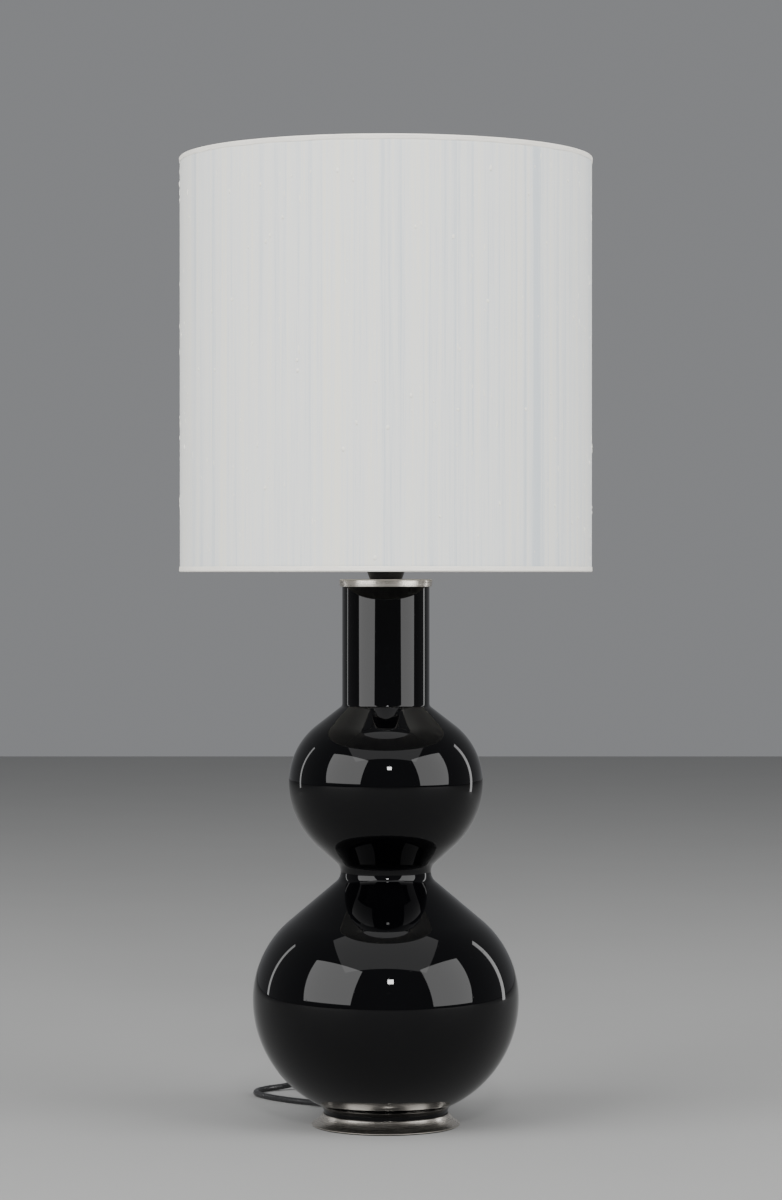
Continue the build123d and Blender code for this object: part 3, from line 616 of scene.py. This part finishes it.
def bodyOutline(shape):
    underR = shape["lowerRadius"] - shape["lowerUnder"]
    collarCentre = shape["collarRadius"] + shape["collarFillet"]
    collarReach = shape["lowerUnder"] + shape["collarFillet"]
    collarAngle = math.degrees(math.acos((collarCentre - underR) / collarReach))
    collarZ = shape["bottom"] + shape["collarHeight"]
    lowerZ = collarZ + collarReach * math.sin(math.radians(collarAngle))
    points = [(0, shape["bottom"]), (shape["collarRadius"] - 0.4 * mm, shape["bottom"])]
    points += arcPoints(collarCentre, collarZ, -shape["collarFillet"], 0, -collarAngle, 6)
    points += arcPoints(underR, lowerZ, shape["lowerUnder"], -collarAngle, 0, 26)[1:]
    shoulder = shape["lowerShoulder"]
    overR = shape["lowerRadius"] - shape["lowerOver"]
    points += arcPoints(overR, lowerZ, shape["lowerOver"], 0, shoulder, 26)[1:]
    waistR = shape["waistRadius"] + shape["waistArc"]
    waistLowR = waistR - shape["waistArc"] * math.cos(math.radians(shoulder))
    waistLowZ = points[-1][1] + (points[-1][0] - waistLowR) / math.tan(math.radians(shoulder))
    waistZ = waistLowZ + shape["waistArc"] * math.sin(math.radians(shoulder))
    rise = shape["upperRise"]
    points += arcPoints(waistR, waistZ, -shape["waistArc"], shoulder, -rise, 16)
    upperUnderR = shape["upperRadius"] - shape["upperUnder"]
    riseR = upperUnderR + shape["upperUnder"] * math.cos(math.radians(rise))
    riseZ = points[-1][1] + (riseR - points[-1][0]) / math.tan(math.radians(rise))
    upperZ = riseZ + shape["upperUnder"] * math.sin(math.radians(rise))
    points += arcPoints(upperUnderR, upperZ, shape["upperUnder"], -rise, 0, 22)
    top = shape["upperShoulder"]
    points += arcPoints(shape["upperRadius"] - shape["upperOver"], upperZ, shape["upperOver"], 0, top, 22)[1:]
    neckR = shape["neckRadius"] + shape["neckFillet"]
    neckLowR = neckR - shape["neckFillet"] * math.cos(math.radians(top))
    neckLowZ = points[-1][1] + (points[-1][0] - neckLowR) / math.tan(math.radians(top))
    neckZ = neckLowZ + shape["neckFillet"] * math.sin(math.radians(top))
    points += arcPoints(neckR, neckZ, -shape["neckFillet"], top, 0, 8)
    edge = shape["edge"]
    points += arcPoints(shape["neckRadius"] - edge, shape["top"] - edge, edge, 0, 90, 4)
    return points + [(0, shape["top"])]


glassBody = finishPiece(
    turned(bodyOutline(bodyShape), bodyShape["around"]),
    "glassBody", "stand", materials["blackGlass"],
)
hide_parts("glass_body")
print("glass body blown")

# foot: a spun flare with a thin upright lip and a flat rim
footShape = {
    "topRadius": 61.0 * mm, "rimReach": 11.0 * mm, "plateTop": 10.4 * mm, "plate": 1.4 * mm,
    "wall": 1.0 * mm, "lip": 1.8 * mm, "lipWall": 0.6 * mm, "felt": 1.0 * mm, "rimEdge": 0.8 * mm,
    "bow": 24.0 * mm, "hole": 5.1 * mm, "soft": 0.25 * mm, "outerSteps": 18, "innerSteps": 12, "around": 200,
}


def footOutline(shape):
    lipTop = shape["plateTop"] + shape["lip"]
    rimTop = shape["felt"] + shape["rimEdge"]
    rimRadius = shape["topRadius"] + shape["rimReach"]
    chord = math.hypot(shape["rimReach"], lipTop - rimTop)
    stand = math.sqrt(shape["bow"] ** 2 - chord**2 / 4)
    centreR = shape["topRadius"] + shape["rimReach"] / 2 + stand * (lipTop - rimTop) / chord
    centreZ = (lipTop + rimTop) / 2 + stand * shape["rimReach"] / chord

    def bowRadius(z, inset=0.0):
        return centreR - math.sqrt((shape["bow"] + inset) ** 2 - (centreZ - z) ** 2)

    low = shape["plateTop"] - shape["plate"]
    soft = shape["soft"]
    outerSteps = shape["outerSteps"]
    rises = (rimTop + (lipTop - soft - rimTop) * step / outerSteps for step in range(outerSteps + 1))
    outer = [(bowRadius(z), z) for z in rises]
    lip = arcPoints(shape["topRadius"] - shape["lipWall"] / 2, lipTop - soft, soft, 20, 160, 4)
    lip.append((shape["topRadius"] - shape["lipWall"], shape["plateTop"]))
    plate = [(shape["hole"], shape["plateTop"]), (shape["hole"], low)]
    innerSteps = shape["innerSteps"]
    heights = (low + (shape["felt"] - low) * step / innerSteps for step in range(innerSteps + 1))
    inner = [(bowRadius(z, shape["wall"]), z) for z in heights]
    rim = [(rimRadius - soft, shape["felt"]), (rimRadius, shape["felt"] + soft)]
    return outer + lip + plate + inner + rim


footFlare = finishPiece(
    turned(footOutline(footShape), footShape["around"], closed=True),
    "footFlare", "stand", materials["satinNickel"],
)
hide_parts("foot_ring")

# neck cap: a shallow spun lid with a rolled edge
capShape = {
    "radius": 45.0 * mm, "wall": 1.4 * mm, "skirt": 7.2 * mm, "roll": 1.2 * mm, "hole": 5.1 * mm,
    "around": 160,
}


def capOutline(shape, top):
    roll = shape["roll"]
    points = [(shape["hole"], top)]
    points += arcPoints(shape["radius"] - roll, top - roll, roll, 90, 0, 6)
    points += [(shape["radius"] - 0.4 * mm, top - shape["skirt"] + 0.3 * mm)]
    points += [(shape["radius"] - reach, top - shape["skirt"]) for reach in (0.7 * mm, 1.3 * mm)]
    points += [(shape["radius"] - shape["wall"], top - shape["wall"] - 0.4 * mm)]
    return points + [(shape["hole"], top - shape["wall"])]


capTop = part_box("neck_cap")[1][2]
neckCap = finishPiece(
    turned(capOutline(capShape, capTop), capShape["around"], closed=True),
    "neckCap", "stand", materials["satinNickel"],
)
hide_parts("neck_cap")
print("foot and cap spun")

# shade: stretched silk on a lining, with folded tape at both edges
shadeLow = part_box("shade_cover")[0][2]
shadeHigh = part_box("shade_cover")[1][2]
shadeShape = {
    "radius": 199.4 * mm, "cloth": 0.45 * mm, "around": 360, "up": 60, "ripple": 0.12 * mm,
    "seamAt": 90.0, "seamWidth": 12.0 * mm, "seamSteps": 8, "seamLift": 0.35 * mm, "seamSink": -0.05 * mm,
    "seamInset": 4 * mm, "seamCuts": 30, "slubs": 420, "slubInset": 0.012, "slubSeed": 17,
    "tapeOut": 200.0 * mm, "tapeHigh": 5.0 * mm, "tapeThick": 0.6 * mm, "tapeRoll": 1.5 * mm,
    "tapeBow": 0.15 * mm, "tapeAround": 240, "wireCentre": 196.4 * mm, "wireRadius": 2.0 * mm,
}


def addDrumMap(bm, radius):
    # u runs round the drum from the front, v up it, both in metres
    uvLayer = bm.loops.layers.uv.new("drumMap")
    for face in bm.faces:
        centre = face.calc_center_median()
        middle = math.atan2(centre.x, -centre.y)
        for loop in face.loops:
            turn = math.atan2(loop.vert.co.x, -loop.vert.co.y)
            turn += 2 * math.pi * round((middle - turn) / (2 * math.pi))
            loop[uvLayer].uv = (turn * radius, loop.vert.co.z)


def makeCloth(shape):
    heights = [shadeLow + (shadeHigh - shadeLow) * step / shape["up"] for step in range(shape["up"] + 1)]
    bm = turned([(shape["radius"], z) for z in heights], shape["around"])
    for vert in bm.verts:
        turn = math.atan2(vert.co.y, vert.co.x)
        ripple = math.sin(turn * 23) * 0.5 + math.sin(turn * 57 + vert.co.z * 9) * 0.3
        ripple += math.sin(turn * 131) * 0.2
        out = Vector((vert.co.x, vert.co.y, 0)).normalized()
        vert.co += out * shape["ripple"] * (ripple - 1)
    firstFace = next(iter(bm.faces))
    centre = firstFace.calc_center_median()
    if firstFace.normal.dot(Vector((centre.x, centre.y, 0))) < 0:
        bmesh.ops.reverse_faces(bm, faces=bm.faces)
    addDrumMap(bm, shape["radius"])
    piece = finishPiece(bm, "silkCover", "shade", materials["slubSilk"])
    thicken = piece.modifiers.new("cloth", "SOLIDIFY")
    thicken.thickness = shape["cloth"]
    thicken.offset = -1
    return piece


def makeSeam(shape):
    # the cloth's lapped end, glued down at the back
    bm = bmesh.new()
    half = shape["seamWidth"] / 2 / shape["radius"]
    steps = shape["seamSteps"]
    rows = []
    for z in (shadeLow + shape["seamInset"], shadeHigh - shape["seamInset"]):
        row = []
        for step in range(steps + 1):
            turn = math.radians(shape["seamAt"]) + half * (step / (steps / 2) - 1)
            lift = shape["seamLift"] if 0 < step < steps else shape["seamSink"]
            r = shape["radius"] + lift
            row.append(bm.verts.new((r * math.cos(turn), r * math.sin(turn), z)))
        rows.append(row)
    for index in range(steps):
        bm.faces.new((rows[0][index], rows[0][index + 1], rows[1][index + 1], rows[1][index]))
    upright = [edge for edge in bm.edges if abs(edge.verts[0].co.z - edge.verts[1].co.z) > 0.1]
    bmesh.ops.subdivide_edges(bm, edges=upright, cuts=shape["seamCuts"])
    addDrumMap(bm, shape["radius"])
    return finishPiece(bm, "silkSeam", "shade", materials["slubSilk"])


def makeSlubs(shape):
    # knots and thick places in the warp, long and upright, lying on the cloth
    chance = random.Random(shape["slubSeed"])
    bm = bmesh.new()
    for _ in range(shape["slubs"]):
        turn = chance.uniform(-math.pi, math.pi)
        z = chance.uniform(shadeLow + shape["slubInset"], shadeHigh - shape["slubInset"])
        small = chance.random() < 0.75
        wide = chance.uniform(0.45, 0.8) * mm if small else chance.uniform(0.9, 1.7) * mm
        tall = wide * (chance.uniform(1.5, 6.0) if small else chance.uniform(1.0, 2.0))
        thick = min(wide * 0.6, 0.75 * mm)
        knot = bmesh.ops.create_icosphere(bm, subdivisions=2, radius=1.0)
        place = Matrix.Rotation(turn, 4, "Z") @ Matrix.Translation((0, -shape["radius"] + 0.1 * mm, z))
        lean = Matrix.Rotation(chance.uniform(-0.25, 0.25), 4, "Y")
        size = Matrix.Diagonal((wide, thick, tall, 1))
        bmesh.ops.transform(bm, matrix=place @ lean @ size, verts=knot["verts"])
    addDrumMap(bm, shape["radius"])
    return finishPiece(bm, "silkSlubs", "shade", materials["knotSilk"], sharpAngle=180)


def tapeOutline(shape, edge, inward):
    # folded over the edge and round the wire behind it
    out = shape["tapeOut"]
    inner = shape["wireCentre"] - shape["wireRadius"] - shape["tapeThick"]
    high = shape["tapeHigh"]
    thick = shape["tapeThick"]
    roll = shape["tapeRoll"]
    outside = [(out - shape["tapeBow"], high), (out, high * 0.7), (out, high * 0.45)]
    outside += arcPoints(out - roll, roll, roll, 0, -90, 6)
    outside += arcPoints(inner + roll, roll, roll, -90, -180, 6)
    outside += [(inner, high * 0.6), (inner, high)]
    wall = shape["radius"]
    inside = [(inner + thick, high), (inner + thick, thick + 0.2 * mm), (inner + thick + 0.4 * mm, thick)]
    inside += [(wall - 0.4 * mm, thick), (wall, thick + 0.2 * mm), (wall, high)]
    return [(r, edge + inward * z) for r, z in outside + inside]


def makeTape(name, shape, edge, inward):
    bm = turned(tapeOutline(shape, edge, inward), shape["tapeAround"], closed=True)
    for vert in bm.verts:
        turn = math.atan2(vert.co.y, vert.co.x)
        squeeze = 1 - 0.0006 * (1 + math.sin(turn * 31 + inward) * 0.6 + math.sin(turn * 73) * 0.4)
        away = inward * (vert.co.z - edge)
        if away > 2 * mm and math.hypot(vert.co.x, vert.co.y) > shape["radius"] + 0.1 * mm:
            vert.co.z -= inward * 0.35 * mm * (1 + math.sin(turn * 19 + 2 * inward))
            vert.co.x *= squeeze
            vert.co.y *= squeeze
    addDrumMap(bm, shape["radius"])
    return finishPiece(bm, name, "shade", materials["ivoryTape"], sharpAngle=50)


silkCover = makeCloth(shadeShape)
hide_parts("shade_cover")
silkSeam = makeSeam(shadeShape)
silkSlubs = makeSlubs(shadeShape)
topTape = makeTape("topTape", shadeShape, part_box("top_hem")[1][2], -1)
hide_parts("top_hem")
bottomTape = makeTape("bottomTape", shadeShape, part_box("bottom_hem")[0][2], 1)
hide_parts("bottom_hem")
print("shade covered")

# plain pale floor and soft lights
studio = {
    "floorSize": 7.0, "floorColour": (0.34, 0.34, 0.336), "floorRough": 0.75,
    "worldColour": (0.58, 0.59, 0.61), "worldStrength": 0.40,
    "lights": [
        ("leftBox", (-3.6, -2.8, 2.1), (4.2, 3.6), 290.0),
        ("rightBox", (3.8, -2.2, 1.9), (3.4, 3.6), 220.0),
        ("topBox", (0.0, -1.6, 4.2), (6.0, 4.0), 120.0),
        ("frontSpot", (0.25, -3.2, 1.9), (0.30, 0.30), 26.0),
        ("leftRim", (-1.9, 1.1, 0.8), (0.12, 1.4), 2.0),
        ("rightRim", (1.9, 1.1, 0.8), (0.20, 1.7), 5.0),
    ],
    "aim": (0, 0, 0.45),
}


def makeFloor():
    material, tree, shader, coords = startMaterial("floorPaint", {"Specular IOR Level": 0.2})
    grain = placeGroup(tree, grainGroup, coords.outputs["Object"], Scale=60.0, Tone=0.04)
    tree.links.new(tinted(tree, studio["floorColour"], grain["Shade"]), shader.inputs["Base Color"])
    shader.inputs["Roughness"].default_value = studio["floorRough"]
    bm = bmesh.new()
    bmesh.ops.create_grid(bm, x_segments=1, y_segments=1, size=studio["floorSize"])
    mesh = bpy.data.meshes.new("floor")
    bm.to_mesh(mesh)
    bm.free()
    mesh.materials.append(material)
    floor = bpy.data.objects.new("floor", mesh)
    bpy.context.scene.collection.objects.link(floor)


def makeLight(name, place, size, power):
    light = bpy.data.lights.new(name, "AREA")
    light.shape = "RECTANGLE"
    light.size, light.size_y = size
    light.energy = power
    lamp = bpy.data.objects.new(name, light)
    lamp.location = place
    aim = Vector(studio["aim"]) - Vector(place)
    lamp.rotation_euler = aim.to_track_quat("-Z", "Y").to_euler()
    bpy.context.scene.collection.objects.link(lamp)


makeFloor()
for lightFacts in studio["lights"]:
    makeLight(*lightFacts)
world = bpy.data.worlds.new("studio")
world.use_nodes = True
background = world.node_tree.nodes["Background"]
background.inputs["Color"].default_value = (*studio["worldColour"], 1)
background.inputs["Strength"].default_value = studio["worldStrength"]
bpy.context.scene.world = world
print("studio lit")
